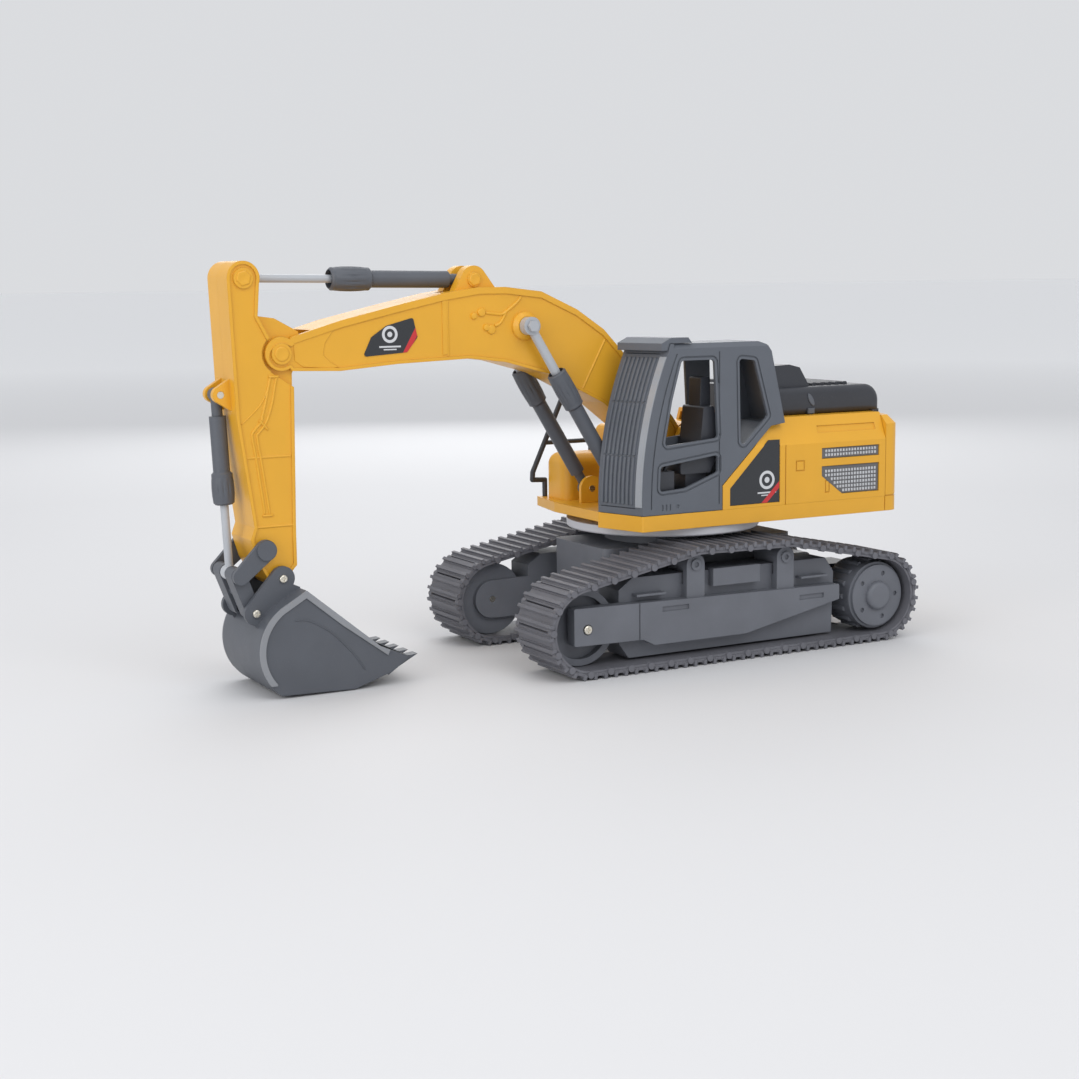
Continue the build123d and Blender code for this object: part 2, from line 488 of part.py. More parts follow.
for y in (SEAT_Y[0] + 5, SEAT_Y[1] - 3):
    console += rod_between((25, y, 85.5), (20, y, 95), 0.9) + Pos(20, y, 95) * Sphere(1.8)
keep("control_console", console)
keep("cab_lamp", extrude(Plane(origin=(8, 34, CAB_TOP_Z - CAB_WALL - 0.3),
                               z_dir=(0, 0, -1)) * Circle(2.5), amount=2))

# ---- boom and its foot
boom_top = [(188.8, 149.0), (166.9, 155.3), (140.2, 161.3), (119.1, 165.7), (102, 168.2),
            (88.8, 168.2), (70.9, 166.0),
            (52.8, 157.8), (38.9, 148.6), (29.5, 138.8), (14, 121), (2, 107.5)]
boom_low = [(-1.0, 88.6), (12, 95.0), (24, 103.5), (39.1, 115.3), (66.9, 129.4), (89.3, 135.5),
            (106.8, 137.6),
            (140.8, 136.4), (167.5, 134.3), (189, 135.0)]
boom_side = outline([BOOM_TIP] + boom_top + [BOOM_ROOT] + boom_low)
boom_side += Pos(*BOOM_TIP) * Circle(TIP_R)
boom_side += Pos(*BOOM_ROOT) * Circle(8.5)
boom_side = boom_side.faces()[0]
clevis_ear = strap([CLEVIS, (93, 164), (111, 162)], [6.0, 3.0, 3.0])
SLOT_R = 16.5
fork_slot = Pos(*BOOM_TIP) * Circle(SLOT_R)


def boom_half():
    body = slab(boom_side, 0, BOOM_HALF - 0.6)
    web = offset(boom_side, -1.3)
    rim = boom_side - (web & Pos(-0.4, -1.6) * web)
    body += slab(rim, BOOM_HALF - 0.7, BOOM_HALF)
    inside = offset(boom_side, -WALL)
    keep_out = Pos(*BOOM_ROOT) * Circle(6) + Pos(*BOOM_EYE) * Circle(4.5) + Pos(*CLEVIS) * Circle(8)
    body -= slab(inside - keep_out, 0, BOOM_HALF - 0.6 - 1.8)
    body += slab(clevis_ear, BUCKET_CYL["eye"], 8.6)
    body -= slab(strap([CLEVIS, (CLEVIS[0] + 20, CLEVIS[1] + 1)], [6.2, 6.2]), -1, 3.2)
    body += disc(BOOM_TIP, 4.4, BOOM_HALF - 0.7, BOOM_HALF + 0.5) + disc(CLEVIS, 3.2, 8.5, 9.4)
    boss = disc(BOOM_EYE, 6.2, BOOM_HALF - 0.8, BOOM_CYL_Y - 2.5)
    body += chamfer(boss.edges().group_by(Axis.Y)[-1], 1.8)
    body -= slab(fork_slot, -1, CHEEK_Y + FIT)
    for a, b in (((117, 164), (117, 139)), ((38, 144), (50, 122))):
        body += rod_between((a[0], BOOM_HALF - 0.7, a[1]), (b[0], BOOM_HALF - 0.7, b[1]), 0.5)
    body -= disc(BOOM_ROOT, PIN_R * 1.6 + PIN_FIT, -1, 20)
    body -= disc(BOOM_TIP, PIN_R * 1.6, -1, 20)
    body -= disc(CLEVIS, PIN_R, -1, 20)
    return body - disc(BOOM_EYE, PIN_R, 4, 40)


left_boom = boom_half()
keep("boom_left_shell", left_boom)
keep("boom_right_shell", mirrored(left_boom))
badge = outline([(157, 139.8), (136.5, 141.2), (131.5, 147.5), (133.5, 155.8), (146, 152.6),
                 (153, 148)], 1.0)
left_badge = slab(badge, BOOM_HALF - 0.6, BOOM_HALF - 0.3)
keep("boom_badges", group([left_badge, mirrored(left_badge)]))
motor_half = BOOM_HALF - 5
keep("arm_motor", block(42, 64, -motor_half, motor_half, 131, 143) + disc((53, 137), 1.2, motor_half, BOOM_HALF - 3))

bracket = outline([(-24, DECK_TOP), (12, DECK_TOP), (4, 92), (-1, 103), (-11, 103), (-15, 92)], 2)
BRACKET_Y = BOOM_HALF + 0.5
foot_plate = slab(bracket, BRACKET_Y, BRACKET_Y + 3) - disc(BOOM_ROOT, PIN_R * 1.6, 0, 40)
foot_plate -= Pos(0, 0, DECK_TOP) * Cylinder(HUB_R + 3, 5)
arch = outline([(BOOM_FOOT[0] - 6, DECK_TOP), (BOOM_FOOT[0] + 6, DECK_TOP),
                (BOOM_FOOT[0] + 6, BOOM_FOOT[1]),
                (BOOM_FOOT[0] - 6, BOOM_FOOT[1])]) + Pos(*BOOM_FOOT) * Circle(6)
ear_in = BOOM_CYL_Y - BOOM_CYL["barrel"] - 0.2
foot_ears = slab(arch, ear_in - 2.0, ear_in) - disc(BOOM_FOOT, PIN_R, 0, 40)
keep("boom_bracket", group([foot_plate, mirrored(foot_plate), foot_ears, mirrored(foot_ears)]))
root_pin = disc(BOOM_ROOT, PIN_R * 1.6, -BRACKET_Y - 3, BRACKET_Y + 3)
foot_pin = disc(BOOM_FOOT, PIN_R, ear_in - 2.2, BOOM_CYL_Y + 3.2)
keep("deck_pins", group([root_pin, foot_pin, mirrored(foot_pin)]))

# ---- arm
arm_side = outline([(215.8, 173.2), (213.6, 115.6), (207.6, 71), (209.4, 66), (206.6, 56.5),
                    (201.8, 48), (198, 44.9),
                    (193.5, 46.3), (191.4, 52), (189.5, 54), (189.5, 68), (188.3, 134), (187.6, 141),
                    (198.6, 149.3),
                    (203.2, 157.9), (202.0, 173)])
arm_side += Pos(*ARM_TOP) * Circle(7.0)
gusset = outline([(198.6, 149.3), (203.2, 157.9), (195.4, 156.8), (184.9, 151.1), (184.2, 142),
                  (188.3, 134), (196, 140)])
swing_recess = Pos(*BOOM_TIP) * (Circle(TIP_R + 1.3) + outline([(4.6, -7.4), (-6, -14.5), (-18, -22),
                                                                (-18, 19),
                                                               (1.5, 8.4)]))


def arm_half():
    core = arm_side + gusset
    body = slab(core.faces()[0], 0, CHEEK_Y)
    cheek = arm_side - swing_recess
    body += slab(cheek, CHEEK_Y - 0.01, BOOM_HALF - 0.6)
    rim = (arm_side - offset(arm_side.faces()[0], -1.4)) - swing_recess
    body += slab(rim, BOOM_HALF - 0.7, BOOM_HALF)
    inside = offset(arm_side.faces()[0], -WALL)
    solid = Pos(*ARM_TOP) * Circle(9) + Pos(*BOOM_TIP) * Circle(8) + Pos(*ROCKER_PIN) * Circle(4)
    body -= slab(inside - solid - Pos(*BUCKET_PIN) * Circle(6), 0, CHEEK_Y - 1.6)
    body -= slab(strap([ARM_TOP, (ARM_TOP[0] - 16, ARM_TOP[1] + 2),
                        (ARM_TOP[0] - 8, ARM_TOP[1] - 3)], [6.4, 5, 5]), -1, 3.0)
    body += disc(ARM_TOP, 4.2, BOOM_HALF - 0.7, BOOM_HALF + 0.4)
    bcy = BUCKET_FOOT
    ear = strap([bcy, (bcy[0] - 7, bcy[1] + 6), (bcy[0] - 7, bcy[1] - 6)], [3.4, 2, 2])
    body += slab(ear, 3.6, 6.4)
    for z in (100, 71):
        body += rod_between((190.5, BOOM_HALF - 0.7, z), (207.5 + (z - 71) * 0.13, BOOM_HALF - 0.7, z), 0.5)
    for hole, r in ((BOOM_TIP, PIN_R * 1.6 + PIN_FIT), (ARM_TOP, PIN_R), (BUCKET_PIN, PIN_R + PIN_FIT),
                    (ROCKER_PIN, PIN_R + PIN_FIT), (BUCKET_FOOT, PIN_R)):
        body -= disc(hole, r, -1, 20)
    return body


left_arm = arm_half()
keep("arm_left_shell", left_arm)
keep("arm_right_shell", mirrored(left_arm))


# ---- cylinders: the barrel turns at its foot, the rod at its eye
def cylinder_pair(size, foot, eye, y, eye_half):
    reach = hypot(eye[0] - foot[0], eye[1] - foot[1])
    ux, uz = (eye[0] - foot[0]) / reach, (eye[1] - foot[1]) / reach

    def at(s):
        return (foot[0] + ux * s, y, foot[1] + uz * s)

    neck = size["length"] - size["collar_length"]
    barrel = rod_between(at(9), at(neck), size["barrel"])
    collar = rod_between(at(neck - 2), at(size["length"]), size["collar"])
    collar = chamfer(collar.edges(), 1.0)
    barrel = barrel + collar + disc(foot, size["eye"] * 0.86, y - eye_half, y + eye_half)
    barrel += rod_between(at(0), at(11), size["barrel"] * 0.65)
    barrel -= rod_between(at(12), at(size["length"] + 1), size["bore"])
    barrel -= rod_between(at(neck), at(size["length"] + 1), size["mouth"])
    barrel -= disc(foot, PIN_R + PIN_FIT, y - 20, y + 20)
    rod = rod_between(at(reach - size["stroke_rod"]), at(reach - 1), size["rod"])
    rod += disc(eye, size["eye"], y - eye_half, y + eye_half)
    rod -= disc(eye, PIN_R + PIN_FIT, y - 20, y + 20)
    return barrel, rod


barrel, rod = cylinder_pair(BOOM_CYL, BOOM_FOOT, BOOM_EYE, BOOM_CYL_Y, 2.2)
keep("boom_cylinders", group([barrel, mirrored(barrel)]))
keep("boom_rods", group([rod, mirrored(rod)]))
barrel, rod = cylinder_pair(ARM_CYL, CLEVIS, ARM_TOP, 0, 2.6)
keep("arm_cylinder", barrel)
keep("arm_rod", rod)
barrel, rod = cylinder_pair(BUCKET_CYL, BUCKET_FOOT, ROCKER_END, 0, 2.6)
keep("bucket_cylinder", barrel)
keep("bucket_rod", rod)
eye_pin = disc(BOOM_EYE, PIN_R, 5, BOOM_CYL_Y + 3.0) + slab(
    Pos(*BOOM_EYE) * RegularPolygon(2.6, 6), BOOM_CYL_Y + 2.4, BOOM_CYL_Y + 4.2)
tip_pin = disc(BOOM_TIP, PIN_R * 1.6, -BOOM_HALF - 0.4, BOOM_HALF + 0.4)
keep("boom_pins", group([eye_pin, mirrored(eye_pin), disc(CLEVIS, PIN_R, -9.0, 9.0), tip_pin]))
keep("arm_pins", group([disc(ARM_TOP, PIN_R, -BOOM_HALF, BOOM_HALF), disc(BUCKET_FOOT, PIN_R, -6.2, 6.2)]))

# ---- bucket and its linkage
rocker_plate = strap([ROCKER_PIN, ROCKER_END], [4.4, 3.4])
rocker = slab(rocker_plate, EAR_Y, EAR_Y + EAR_T) + disc(ROCKER_PIN, 4.2, EAR_Y, EAR_Y + EAR_T + 1.0)
rocker = both_sides(rocker) + disc(ROCKER_PIN, PIN_R, -EAR_Y - 1, EAR_Y + 1)
rocker += disc(ROCKER_END, PIN_R, -EAR_Y - 1, EAR_Y + 1)
keep("rocker", rocker)
LINK_HOLE = PIN_R + 0.6
link_plate = strap([ROCKER_END, LINK_PIN], [3.3, 3.2])
link_side = slab(link_plate, 3.2, 11.8) - disc(LINK_PIN, LINK_HOLE, 0, 20) - disc(ROCKER_END,
                                                                                  PIN_R + PIN_FIT, 0, 20)
link_middle = ((ROCKER_END[0] + LINK_PIN[0]) / 2, (ROCKER_END[1] + LINK_PIN[1]) / 2)
waist = disc(link_middle, 2.2, -11, 11)
keep("bucket_link", both_sides(link_side) + waist)

bucket_back = ThreePointArc((202, 1.4), (211.2, 17.5), (201.5, 38.2))
bucket_low = Polyline((143.5, 11.6), (152, 6.0), (169, 0.5), (202, 1.4))
bucket_skin = Wire([bucket_low.edges()[0], bucket_low.edges()[1], bucket_low.edges()[2], bucket_back.edge(),
                    Line((201.5, 38.2), (190, 44.8)).edge()])
mouth = Polyline((190, 44.8), (157, 17.5), (143.5, 11.6))
bucket_side = make_face([bucket_skin, mouth])
inner_side = offset(bucket_side, -1.9)
bucket = slab(bucket_side, -BUCKET_HALF, BUCKET_HALF)
bucket -= slab(inner_side, -BUCKET_HALF + 2, BUCKET_HALF - 2)
open_mouth = outline([(188.6, 43.6), (189.8, 40.0), (160, 14.5), (148, 9.9), (144.2, 11.9), (157, 17.6)])
bucket -= slab(open_mouth, -BUCKET_HALF + 2, BUCKET_HALF - 2)
ear_view = strap([BUCKET_PIN, LINK_PIN], [5.2, 5.0]) + outline([(192.6, 46.5), (189.4, 45.0),
                                                                (201, 36), (208, 28),
                                                               (212, 33), (199, 46)])
ear_view -= offset(bucket_side, -0.6)
for y in (EAR_Y, -EAR_Y - EAR_T):
    bucket += slab(ear_view, y, y + EAR_T)
for hole in (BUCKET_PIN, LINK_PIN):
    bucket += disc(hole, PIN_R, -EAR_Y - 1, EAR_Y + 1)
    bucket -= both_sides(disc(hole, 0.85, EAR_Y + EAR_T - 1.2, EAR_Y + EAR_T))
keep("bucket_shell", bucket)
TEETH = 5
TRIM_WIDTH = 2.6
tooth_view = outline([(139.6, 12.4), (146.5, 11.9), (155, 9.0), (153.4, 4.6), (148.5, 7.8)])
teeth = []
for i in range(TEETH):
    y = (BUCKET_HALF - 3.4) * (2 * i / (TEETH - 1) - 1)
    teeth.append(slab(tooth_view - bucket_side, y - 2.6, y + 2.6))
keep("bucket_teeth", group(teeth))
trim_line = bucket_side - offset(bucket_side, -TRIM_WIDTH)
trim_line &= outline([(211.5, 6), (230, 6), (215, 60), (185, 60), (150, 22), (154, 13.5), (190, 40),
                      (203, 30), (204, 6)])
trim = slab(trim_line.faces().sort_by(SortBy.AREA)[-1], BUCKET_HALF, BUCKET_HALF + 0.7)
keep("bucket_side_trims", group([trim, mirrored(trim)]))
pin_screws = []
for hole in (BUCKET_PIN, LINK_PIN):
    at = Plane(origin=(hole[0], EAR_Y + EAR_T, hole[1]), x_dir=(1, 0, 0), z_dir=(0, 1, 0))
    pin_screws.append(screw(at, 1.7, 1.2))
keep("bucket_screws", group(pin_screws + [mirrored(s) for s in pin_screws]))

# ---- write the parts, with the origin at the bottom centre
whole = Compound(children=[s for shape in nodes.values() for s in shape.solids()]).bounding_box()
SHIFT_X = -(whole.min.X + whole.max.X) / 2


def main():
    os.makedirs("parts", exist_ok=True)
    for name, shape in nodes.items():
        solids = [s.moved(Location((SHIFT_X, 0, 0))) for s in shape.solids()]
        placed = solids[0] if len(solids) == 1 else Compound(children=solids)
        export_step(placed, f"parts/{name}.step")
    print(f"{len(nodes)} nodes, box {whole.size}, moved {SHIFT_X:.3f} along X")


main()
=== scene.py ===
import bpy
import bmesh
import math
from mathutils import Matrix, Vector


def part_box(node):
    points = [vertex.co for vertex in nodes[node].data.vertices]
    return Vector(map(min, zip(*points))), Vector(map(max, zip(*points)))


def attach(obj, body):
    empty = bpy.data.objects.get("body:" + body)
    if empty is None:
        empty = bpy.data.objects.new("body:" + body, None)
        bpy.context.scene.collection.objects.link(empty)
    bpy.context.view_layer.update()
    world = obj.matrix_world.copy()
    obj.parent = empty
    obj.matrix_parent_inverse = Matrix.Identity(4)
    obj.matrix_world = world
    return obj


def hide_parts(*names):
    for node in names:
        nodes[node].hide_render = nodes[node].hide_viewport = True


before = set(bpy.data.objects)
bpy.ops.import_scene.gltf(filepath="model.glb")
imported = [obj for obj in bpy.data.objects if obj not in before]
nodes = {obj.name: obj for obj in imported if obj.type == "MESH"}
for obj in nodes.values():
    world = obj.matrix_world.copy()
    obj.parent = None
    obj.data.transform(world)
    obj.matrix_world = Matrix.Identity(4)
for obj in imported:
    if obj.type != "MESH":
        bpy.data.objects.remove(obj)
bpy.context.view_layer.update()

mm = 0.001
scene = bpy.context.scene
scene.view_settings.view_transform = "Standard"
print("frame loaded:", len(nodes), "nodes")


def middleOf(node):
    low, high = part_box(node)
    return (Vector(low) + Vector(high)) / 2


slewX = middleOf("slew_ring").x      # side views below are measured from the turntable's axis, in millimetres


def spot(x, z, y=0.0):
    return Vector((slewX + x * mm, y * mm, z * mm))


# shader maths: a socket with operators
class Wire:
    def __init__(self, tree, socket):
        self.tree = tree
        self.socket = socket

    def node(self, kind, settings=None, out=0, **values):
        made = self.tree.nodes.new(kind)
        for key, value in (settings or {}).items():
            if key == "stops":
                ramp = made.color_ramp
                while len(ramp.elements) < len(value):
                    ramp.elements.new(1.0)
                for element, (place, colour) in zip(ramp.elements, value):
                    element.position = place
                    element.color = colour
            else:
                setattr(made, key, value)
        for key, value in values.items():
            index = key[1:] if key[0] == "i" and key[1:].isdigit() else None
            socket = made.inputs[int(index)] if index else made.inputs[key.replace("_", " ")]
            if isinstance(value, Wire):
                self.tree.links.new(value.socket, socket)
            else:
                socket.default_value = value
        return Wire(self.tree, made.outputs[out])

    def math(self, operation, other=None, third=None, clamp=False):
        values = {"i0": self}
        if other is not None:
            values["i1"] = other
        if third is not None:
            values["i2"] = third
        return self.node("ShaderNodeMath", {"operation": operation, "use_clamp": clamp}, **values)

    def __add__(self, other): return self.math("ADD", other)
    def __radd__(self, other): return self.math("ADD", other)
    def __sub__(self, other): return self.math("SUBTRACT", other)
    def __rsub__(self, other): return (self * -1.0) + other
    def __mul__(self, other): return self.math("MULTIPLY", other)
    def __rmul__(self, other): return self.math("MULTIPLY", other)
    def __truediv__(self, other): return self.math("DIVIDE", other)

    def above(self, edge, soft=0.0001):
        return ((self - edge) / soft + 0.5).math("ADD", 0.0, clamp=True)

    def below(self, edge, soft=0.0001):
        return ((edge - self) / soft + 0.5).math("ADD", 0.0, clamp=True)

    def near(self, centre, half, soft=0.0001):
        return (self - centre).math("ABSOLUTE").below(half, soft)

    def mix(self, first, second):
        # self is the factor; first and second are colours or wires
        return self.node("ShaderNodeMix", {"data_type": "RGBA"}, out=2, i0=self, i6=first, i7=second)


def newMaterial(name):
    material = bpy.data.materials.new(name)
    material.use_nodes = True
    tree = material.node_tree
    shader = next(n for n in tree.nodes if n.type == "BSDF_PRINCIPLED")
    coords = tree.nodes.new("ShaderNodeTexCoord")
    place = Wire(tree, coords.outputs["Object"])
    split = place.node("ShaderNodeSeparateXYZ", Vector=place)
    x = Wire(tree, split.socket.node.outputs[0])
    y = Wire(tree, split.socket.node.outputs[1])
    z = Wire(tree, split.socket.node.outputs[2])
    return material, shader, place, (x, y, z)


def feed(shader, name, value):
    socket = shader.inputs[name]
    if isinstance(value, Wire):
        value.tree.links.new(value.socket, socket)
    else:
        socket.default_value = value


def noise(place, scale, detail=4.0, roughness=0.5):
    return place.node("ShaderNodeTexNoise", Vector=place, Scale=scale, Detail=detail, Roughness=roughness)


def colour(values, gain=1.0):
    return tuple(min(1.0, v * gain) for v in values[:3]) + (1.0,)


edgeSamples = 4


def mouldedPlastic(name, look):
    # pigment clouding, grain, flow marks and softly rounded moulded edges
    material, shader, place, _ = newMaterial(name)
    cloud = noise(place, look.get("cloud", 55.0), 3.0)
    grain = noise(place, look.get("grain", 5200.0), 3.0, 0.6)
    haze = noise(place, 130.0, 5.0, 0.65)
    speck = noise(place, 2600.0, 2.0).above(0.71, 0.05)
    base = cloud.above(0.5, 0.5).mix(colour(look["tone"], 1 - look.get("drift", 0.06)),
                                     colour(look["tone"], 1 + look.get("drift", 0.06)))
    base = (speck * look.get("dust", 0.12)).mix(base, colour(look.get("dustTone", (0.5, 0.5, 0.5))))
    feed(shader, "Base Color", base)
    feed(shader, "Roughness", haze * look.get("haze", 0.16) + (look["rough"] - 0.08) + speck * 0.12)
    rounded = place.node("ShaderNodeBevel", {"samples": edgeSamples}, Radius=look.get("edge", 0.0004))
    relief = grain * look.get("grainDepth", 0.5) + haze * 0.3
    bump = place.node("ShaderNodeBump", Strength=look.get("bump", 0.12), Distance=0.0002, Height=relief,
                      Normal=rounded)
    feed(shader, "Normal", bump)
    feed(shader, "IOR", 1.5)
    feed(shader, "Specular IOR Level", look.get("specular", 0.5))
    return material


def metal(name, look):
    # plated or brushed metal with fine directional marks
    material, shader, place, (x, y, z) = newMaterial(name)
    stretched = place.node("ShaderNodeMapping", Vector=place, Scale=look.get("stretch", (400.0, 400.0, 9000.0)))
    marks = noise(stretched, 1.0, 3.0)
    haze = noise(place, 180.0, 4.0)
    feed(shader, "Base Color", haze.above(0.5, 0.5).mix(colour(look["tone"], 0.9), colour(look["tone"], 1.06)))
    feed(shader, "Metallic", look.get("metallic", 1.0))
    feed(shader, "Roughness", marks * 0.16 + haze * 0.08 + (look["rough"] - 0.1))
    rounded = place.node("ShaderNodeBevel", {"samples": edgeSamples}, Radius=0.00025)
    feed(shader, "Normal", place.node("ShaderNodeBump", Strength=0.12, Distance=0.0001, Height=marks, Normal=rounded))
    return material


yellowTone = (0.76, 0.385, 0.026)
plastics = {
    "yellow": dict(tone=yellowTone, rough=0.36, grain=3800.0, grainDepth=0.25, bump=0.10, haze=0.14, drift=0.035,
                   dust=0.05, edge=0.00045, specular=0.5),
    "trackDark": dict(tone=(0.135, 0.143, 0.165), rough=0.50, bump=0.2, drift=0.10, edge=0.0004),
    "beltDark": dict(tone=(0.135, 0.136, 0.155), rough=0.56, bump=0.28, drift=0.12, dust=0.2, edge=0.0003),
    "cabGrey": dict(tone=(0.108, 0.120, 0.142), rough=0.44, bump=0.16, drift=0.06, edge=0.0005),
    "bucketGrey": dict(tone=(0.088, 0.096, 0.113), rough=0.46, bump=0.16, drift=0.08, edge=0.0005),
    "black": dict(tone=(0.036, 0.039, 0.048), rough=0.36, bump=0.14, drift=0.10, edge=0.0005),
    "ringGrey": dict(tone=(0.58, 0.59, 0.63), rough=0.42, bump=0.14, drift=0.05, edge=0.0004),
    "pillarGrey": dict(tone=(0.30, 0.32, 0.35), rough=0.20, bump=0.05, drift=0.05, edge=0.0003),
    "silverPlastic": dict(tone=(0.42, 0.44, 0.47), rough=0.30, bump=0.08, drift=0.05, edge=0.0003),
    "batteryWrap": dict(tone=(0.04, 0.10, 0.32), rough=0.25, bump=0.06, drift=0.05),
    "boardGreen": dict(tone=(0.02, 0.16, 0.07), rough=0.4, bump=0.2, drift=0.15),
    # grille backing: a real plate, but its near-black tone is painted shade for the shadow seen through the
    # perforations
    "grilleShadeBacking": dict(tone=(0.13, 0.13, 0.135), rough=0.42, bump=0.14, drift=0.08),
    "trimSilver": dict(tone=(0.25, 0.26, 0.28), rough=0.34, bump=0.14, drift=0.08, edge=0.0003),
}
materials = {name: mouldedPlastic(name, look) for name, look in plastics.items()}
materials["nickel"] = metal("nickel", dict(tone=(0.80, 0.76, 0.66), rough=0.26))
materials["grilleSilver"] = metal("grilleSilver", dict(tone=(0.72, 0.73, 0.75), rough=0.30))
for name, rough in (("batteryWrap", 0.5), ("silverPlastic", 0.3), ("pillarGrey", 0.6)):
    coat = materials[name].node_tree.nodes["Principled BSDF"]
    coat.inputs["Coat Weight"].default_value = rough
    coat.inputs["Coat Roughness"].default_value = 0.12


def decal(name, stripe, mark):
    # black printed foil, with a red stripe along one edge and a plain ring and bars
    material, shader, place, (x, y, z) = newMaterial(name)
    (sx, sz), (dx, dz), half = stripe
    across = (x - sx) * dz - (z - sz) * dx
    red = across.near(0.0, half)
    u, w = x - mark["at"][0], z - mark["at"][1]
    reach = (u * u + w * w).math("SQRT")
    ring = reach.near(mark["ring"], mark["line"])
    bars = (u.near(0.0, mark["bar"]) * w.near(-mark["ring"] - 0.0022, 0.00035)).math(
        "MAXIMUM", u.near(0.0, mark["bar"] * 0.6) * w.near(-mark["ring"] - 0.0034, 0.00025))
    dot = reach.below(mark["ring"] * 0.38)
    light = ring.math("MAXIMUM", dot).math("MAXIMUM", bars)
    fine = noise(place, 1200.0, 4.0)
    base = fine.mix((0.022, 0.024, 0.028, 1), (0.034, 0.037, 0.042, 1))
    base = light.mix(base, (0.62, 0.63, 0.65, 1))
    base = red.mix(base, (0.55, 0.03, 0.035, 1))
    feed(shader, "Base Color", base)
    feed(shader, "Roughness", fine * 0.12 + 0.24)
    rounded = place.node("ShaderNodeBevel", {"samples": edgeSamples}, Radius=0.0002)
    feed(shader, "Normal", place.node("ShaderNodeBump", Strength=0.08, Distance=0.0001, Height=light + fine * 0.3,
                                      Normal=rounded))
    return material


finishes = {
    "yellow": ["deck", "left_side_panel", "right_side_panel", "counterweight", "fuel_tank", "toolbox",
               "boom_left_shell", "boom_right_shell", "boom_bracket", "arm_left_shell", "arm_right_shell"],
    "trackDark": ["left_track_frame", "right_track_frame", "left_sprocket", "right_sprocket", "left_idler_wheel",
                  "right_idler_wheel", "chassis_frame", "battery_door", "base_cover"],
    "beltDark": ["left_track_belt", "right_track_belt"],
    "cabGrey": ["cab_shell", "roof_visor", "cab_front_guard"],
    "bucketGrey": ["rocker", "bucket_link", "bucket_shell", "bucket_teeth", "boom_cylinders", "arm_cylinder",
                   "bucket_cylinder"],
    "black": ["left_gearbox_case", "right_gearbox_case", "power_switch", "engine_hood", "handrail", "driver_seat",
              "control_console", "arm_motor"],
    "ringGrey": ["slew_ring", "slew_retainer"],
    "pillarGrey": ["cab_pillar_trim"],
    "silverPlastic": ["boom_rods", "arm_rod", "bucket_rod", "boom_pins", "cab_lamp"],
    "batteryWrap": ["battery_pack"],
    "boardGreen": ["circuit_board"],
    "trimSilver": ["bucket_side_trims"],
    "nickel": ["drive_motors", "idler_axles", "case_screws", "deck_pins", "arm_pins", "bucket_screws"],
    # the grille backing takes the dark tone that paints in the shade behind the perforations
    "grilleShadeBacking": ["side_grilles"],
}
boomLow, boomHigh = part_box("boom_badges")
sideLow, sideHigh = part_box("side_badge")
boomMark = dict(at=((boomLow.x + boomHigh.x) / 2 + 0.0005, (boomLow.z + boomHigh.z) / 2 + 0.0012), ring=0.003,
                line=0.0006, bar=0.005)
sideMark = dict(at=(sideHigh.x - 0.0205, sideLow.z + 0.0105), ring=0.0036, line=0.00065, bar=0.0052)
materials["boomDecal"] = decal("boomDecal", ((boomLow.x + 0.0062, boomLow.z), (-0.5, 0.87), 0.0012), boomMark)
materials["sideDecal"] = decal("sideDecal", ((sideLow.x + 0.0085, sideLow.z), (-0.72, 0.69), 0.0011), sideMark)
finishes["boomDecal"] = ["boom_badges"]
finishes["sideDecal"] = ["side_badge"]


def paint(piece, material):
    piece.data.materials.clear()
    piece.data.materials.append(material)


for finish, names in finishes.items():
    for name in names:
        paint(nodes[name], materials[finish])
left = set(nodes) - {n for names in finishes.values() for n in names}
print("finishes set, nodes without one:", sorted(left))


# pieces made here
def newPiece(name, mesh, body, finish):
    piece = bpy.data.objects.new(name, mesh)
    scene.collection.objects.link(piece)
    paint(piece, materials[finish])
    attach(piece, body)
    return piece


def meshOf(name, vertices, faces):
    mesh = bpy.data.meshes.new(name)
    mesh.from_pydata([tuple(v) for v in vertices], [], faces)
    mesh.update()
    return mesh


def tidyNormals(mesh):
    work = bmesh.new()
    work.from_mesh(mesh)
    bmesh.ops.remove_doubles(work, verts=work.verts, dist=0.000001)
    bmesh.ops.recalc_face_normals(work, faces=work.faces)
    work.to_mesh(mesh)
    work.free()


def smoothByAngle(mesh, degrees=35):
    mesh.shade_smooth()
    mesh.set_sharp_from_angle(angle=math.radians(degrees))


def joinRings(rows, sides, loop=False):
    # faces between rings of corners: a closed loop of rings, or a run with a lid at both ends
    faces = []
    for i in range(rows if loop else rows - 1):
        j = (i + 1) % rows
        for k in range(sides):
            n = (k + 1) % sides
            faces.append((i * sides + k, i * sides + n, j * sides + n, j * sides + k))
    if not loop:
        faces.append(tuple(range(sides)))
        faces.append(tuple(range((rows - 1) * sides, rows * sides)))
    return faces


def solidPiece(name, vertices, faces, body, finish, degrees):
    mesh = meshOf(name, vertices, faces)
    tidyNormals(mesh)
    smoothByAngle(mesh, degrees)
    return newPiece(name, mesh, body, finish)


def hull(points):
    # convex outline of side-view points, anticlockwise
    points = sorted(set(points))

    def half(row):
        out = []
        for p in row:
            while len(out) > 1 and ((out[-1][0] - out[-2][0]) * (p[1] - out[-2][1])
                                    - (out[-1][1] - out[-2][1]) * (p[0] - out[-2][0])) <= 0:
                out.pop()
            out.append(p)
        return out[:-1]
    return half(points) + half(points[::-1])


def evenly(loop, count):
    # points at equal steps round a closed outline, each with its direction
    ends = loop[1:] + loop[:1]
    lengths = [math.dist(p, q) for p, q in zip(loop, ends)]
    step = sum(lengths) / count
    out, index, walked = [], 0, 0.0
    for i in range(count):
        while walked + lengths[index] < i * step:
            walked += lengths[index]
            index += 1
        share = (i * step - walked) / lengths[index]
        (px, pz), (qx, qz) = loop[index], ends[index]
        out.append((px + (qx - px) * share, pz + (qz - pz) * share, math.atan2(qz - pz, qx - px)))
    return out


